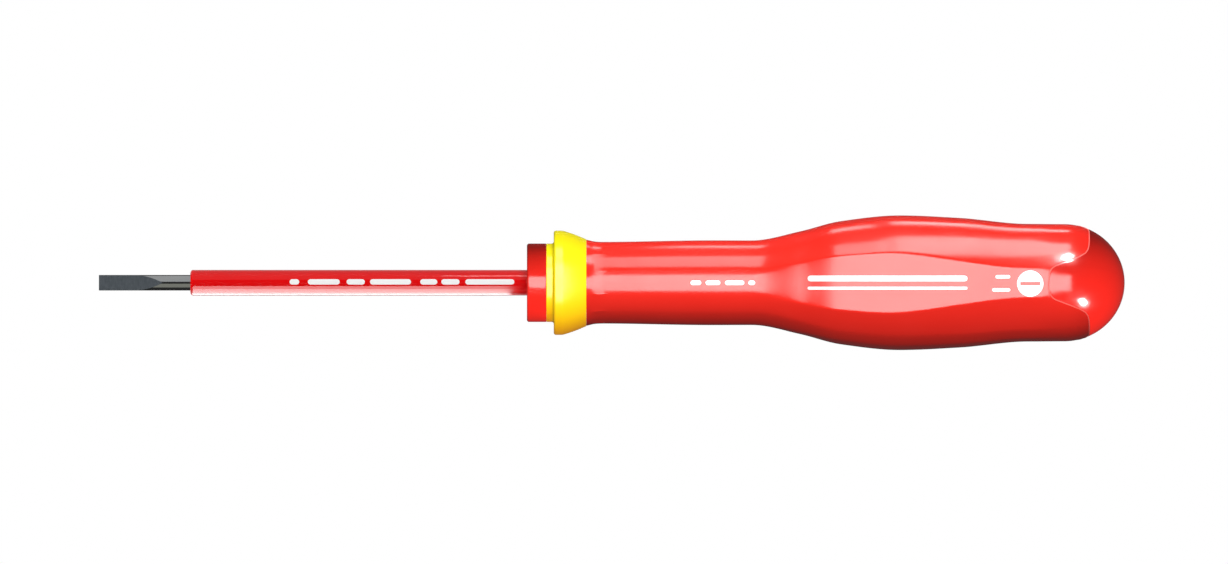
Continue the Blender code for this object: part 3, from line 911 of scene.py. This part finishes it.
def only_on(lamp, pieces):
    """Keeps a lamp's light to these pieces."""
    receivers = bpy.data.collections.new(lamp.name + ".lit")
    for piece in pieces:
        receivers.objects.link(piece)
    lamp.light_linking.receiver_collection = receivers


def card(name, span, elevations, radiance, pieces, distance=0.14, colour="#FFFFFF"):
    """A soft box that is seen only as a reflection. It reaches along the tool between two places
    and stands across a range of elevations, in degrees: 0 is in front of the tool, 90 above it."""
    middle = Vector(((span[0] + span[1]) / 2, 0, 0))
    up = math.radians((elevations[0] + elevations[1]) / 2)
    half = math.radians((elevations[1] - elevations[0]) / 2)
    away = Vector((0, -math.cos(up), math.sin(up))) * distance
    size = (span[1] - span[0], 2 * distance * math.tan(half))
    lamp = aimed_lamp(name, middle + away, middle, size, radiance, colour)
    lamp.visible_diffuse = False
    only_on(lamp, pieces)


def spark(name, point, away, radiance, pieces, width=0.005, distance=0.03):
    """A small round light that makes one hot spot. Its narrow spread keeps it off the far end."""
    centre = Vector(point) + Vector(away).normalized() * distance
    lamp = aimed_lamp(name, centre, point, (width, width), radiance, "#FFFFFF")
    lamp.data.shape = "DISK"
    lamp.data.spread = math.radians(50)
    lamp.visible_diffuse = False
    only_on(lamp, pieces)


def key(name, azimuth, elevation, strength, pieces=(), colour="#FFFFFF", size=0.3, distance=0.6):
    """A soft light without a reflection. strength is how bright it makes a white surface that
    faces it; azimuth 0 is in front of the tool and 90 beyond its butt."""
    around, up = math.radians(azimuth), math.radians(elevation)
    middle = Vector((HANDLE_MIDDLE, 0, 0))
    away = Vector((math.sin(around) * math.cos(up), -math.cos(around) * math.cos(up), math.sin(up)))
    radiance = strength * math.pi * distance ** 2 / size ** 2
    lamp = aimed_lamp(name, middle + away * distance, middle, (size, size), radiance, colour)
    lamp.visible_glossy = False
    if pieces:
        only_on(lamp, pieces)


def make_camera():
    """A level view from straight in front, without perspective."""
    data = bpy.data.cameras.new("camera")
    data.type = "ORTHO"
    data.ortho_scale = VIEW_WIDTH
    camera = bpy.data.objects.new("camera", data)
    bpy.context.scene.collection.objects.link(camera)
    camera.location = VIEW_FROM
    camera.rotation_euler = (math.pi / 2, 0, 0)
    bpy.context.scene.camera = camera


def make_world():
    """A room that is bright for shading and dim in reflections, and white as the backdrop."""
    world = bpy.data.worlds.new("studio")
    bpy.context.scene.world = world
    world.use_nodes = True
    tree = world.node_tree
    tree.nodes.clear()
    path = add(tree, "ShaderNodeLightPath")
    dim, soft, white = [
        add(tree, "ShaderNodeBackground", {"Color": (1, 1, 1, 1), "Strength": strength}).outputs[0]
        for strength in (REFLECTED_ROOM, SHADING_ROOM, 1.0)]
    unseen = add(tree, "ShaderNodeMixShader", {0: path.outputs["Is Diffuse Ray"], 1: dim, 2: soft})
    mix = add(tree, "ShaderNodeMixShader", {
        0: path.outputs["Is Camera Ray"], 1: unseen.outputs[0], 2: white})
    add(tree, "ShaderNodeOutputWorld", {"Surface": mix.outputs[0]})


def make_floor():
    """A pale paper floor just under the tool."""
    floor_z = float(CAD_BOX[0][2]) - FLOOR_DROP
    mesh = bpy.data.meshes.new("floor")
    corners = [(x * FLOOR_REACH, y * FLOOR_REACH, floor_z)
               for x, y in ((-1, -1), (1, -1), (1, 1), (-1, 1))]
    mesh.from_pydata(corners, [], [(0, 1, 2, 3)])
    floor = bpy.data.objects.new("floor", mesh)
    bpy.context.scene.collection.objects.link(floor)
    floor.visible_diffuse = False
    floor.visible_glossy = False
    floor.visible_shadow = False
    material, tree, shader, coordinates = new_material("matt_studio_paper", 0.9)
    noise = add(tree, "ShaderNodeTexNoise", {"Vector": coordinates, "Scale": 400.0})
    tint = shades(tree, noise.outputs["Fac"], "#F0F0F0", "#F6F6F6")
    tree.links.new(tint, shader.inputs["Base Color"])
    mesh.materials.append(material)
    return floor


def make_studio(pieces):
    """Soft boxes. Cards make the reflections and keys the shading."""
    blade, collar, guard, cap = [[pieces[n]] for n in ("blade", "collar", "guard", "cap")]
    sheath = [pieces["sheath"], pieces["sheath_print"]]
    sleeve = [pieces["sleeve"], pieces["bead"], *pieces["prints"]]
    make_world()
    floor = make_floor()

    card("front_card", (0.083, 0.2), (-15, 14), 4.6, sleeve + cap, 0.135)
    card("front_wide_card", (0.068, 0.2), (-16, 15), 4.6, sleeve + cap, 0.145)
    card("waist_card", (0.083, 0.125), (43, 76), 5.2, sleeve)
    card("waist_strip", (0.096, 0.122), (113, 120), 4.8, sleeve)
    card("belly_card", (0.121, 0.195), (54, 80), 4.4, sleeve + cap)
    card("belly_rear_card", (0.136, 0.188), (57, 82), 4.2, sleeve + cap)
    card("rear_strip", (0.134, 0.18), (116.5, 123.5), 6.0, sleeve)
    card("collar_card", (0.0, 0.16), (-14, 17), 8.6, collar)
    card("guard_card", (-0.02, 0.171), (-41, 46), 7.0, guard)
    card("guard_upper_card", (0.05, 0.115), (50, 80), 4.5, guard)
    card("sheath_low_card", (0.008, 0.072), (-135, -30), 5.5, sheath, 0.05)
    card("sheath_bottom_card", (0.008, 0.072), (-140, -58), 5.0, sheath, 0.04)
    card("sheath_under_card", (-0.2, 0.2), (-178, -120), 0.7, sheath)
    card("sheath_upper_card", (-0.2, 0.2), (26, 178), 0.4, sheath)
    card("sheath_strip", (0.06, 0.09), (61, 65), 12.0, sheath)
    card("blade_upper_card", (-0.2, 0.2), (15, 125), 0.8, blade)
    card("blade_lower_card", (-0.2, 0.2), (-74, -15), 0.6, blade, colour="#E2E2D2")
    spark("upper_spark", (0.1698, -0.007, 0.0042), (0.14, -0.656, 0.746), 40.0, sleeve + cap)
    spark("lower_spark", (0.1724, -0.0085, -0.0037), (0.546, -0.584, -0.598), 45.0, cap)

    key("grip_key", 0, 17, 1.3, sleeve)
    key("grip_top_key", 0, 95, 0.4, sleeve)
    key("collar_key", 0, -20, 1.22, collar)
    key("cap_key", 25, -25, 1.18, cap)
    key("guard_key", 0, 27, 1.2, guard)
    key("guard_fill", 0, -60, 0.64, guard, "#FF9C20")
    key("sheath_key", 0, -5, 0.6, sheath)
    key("sheath_top_key", 0, 75, 0.4, sheath)
    key("sheath_end_key", -80, 0, 0.5, sheath)
    key("back_key", 180, 25, 0.85, blade + sheath + collar + guard + sleeve + cap)
    key("floor_key", 20, 75, 0.8, [floor], size=5.0, distance=8.0)


def main():
    bpy.context.scene.view_settings.view_transform = "Standard"
    turning = turning_tree()
    printing = printing_tree()
    beading = bead_tree()

    # Grip: thermoplastic elastomer, tinted through, with the even soft gloss of a polished mould.
    grip_red = plastic(
        "soft_touch_elastomer_red", "#EA261B", "#F02C21",
        roughness=0.17, spread=0.02, speck=0.25 * MM, pit=0.001 * MM)
    # Collar and cap: harder polypropylene, a little glossier, so its highlights end more sharply.
    hard_red = plastic(
        "moulded_polypropylene_red", "#EC241A", "#F2281E",
        roughness=0.16, spread=0.02, speck=0.5 * MM, pit=0.0008 * MM)
    # Guard: the same polypropylene in a warning yellow, with a waxy sheen.
    yellow = plastic(
        "moulded_polypropylene_yellow", "#FFEE0E", "#FFF212",
        roughness=0.24, spread=0.02, speck=0.5 * MM, pit=0.0008 * MM)
    # Sheath: extruded insulation, deeper red and the glossiest plastic here.
    sheath_red = plastic(
        "extruded_sheath_red", "#E20408", "#E8080C",
        roughness=0.09, spread=0.01, speck=0.8 * MM, pit=0.0001 * MM)
    # Core: hidden under the grip, an unpolished darker red.
    core_red = plastic(
        "moulded_core_red", "#B01A14", "#B81E16",
        roughness=0.4, spread=0.03, speck=0.5 * MM, pit=0.001 * MM)
    # Marks: thin matt white ink.
    white_ink = plastic(
        "pad_print_white", "#F4F4F4", "#FFFFFF",
        roughness=0.35, spread=0.03, speck=0.3 * MM, pit=0.0005 * MM)
    # Parting line: a fine rib of grip plastic, coloured paler than the grip as a painted highlight
    # for the light that the rib catches.
    bead_painted_highlight = plastic(
        "parting_line_red", "#FF6A62", "#FF7A72",
        roughness=0.3, spread=0.02, speck=0.4 * MM, pit=0.0004 * MM)
    steel = steel_material()

    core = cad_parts["handle_core"]
    core.data.materials.clear()
    core.data.materials.append(core_red)

    pieces = {
        "blade": make_blade(steel),
        "sheath": make_sheath(sheath_red, turning),
        "collar": make_collar(hard_red, turning),
        "guard": make_guard(yellow, turning),
        "sleeve": make_sleeve(grip_red),
        "cap": make_cap(hard_red),
    }
    pieces["bead"] = make_seam_bead(bead_painted_highlight, beading)
    pieces["prints"] = make_prints(white_ink, pieces["sleeve"], printing)
    pieces["sheath_print"] = make_sheath_print(white_ink, pieces["sheath"], printing)
    make_camera()
    make_studio(pieces)


main()
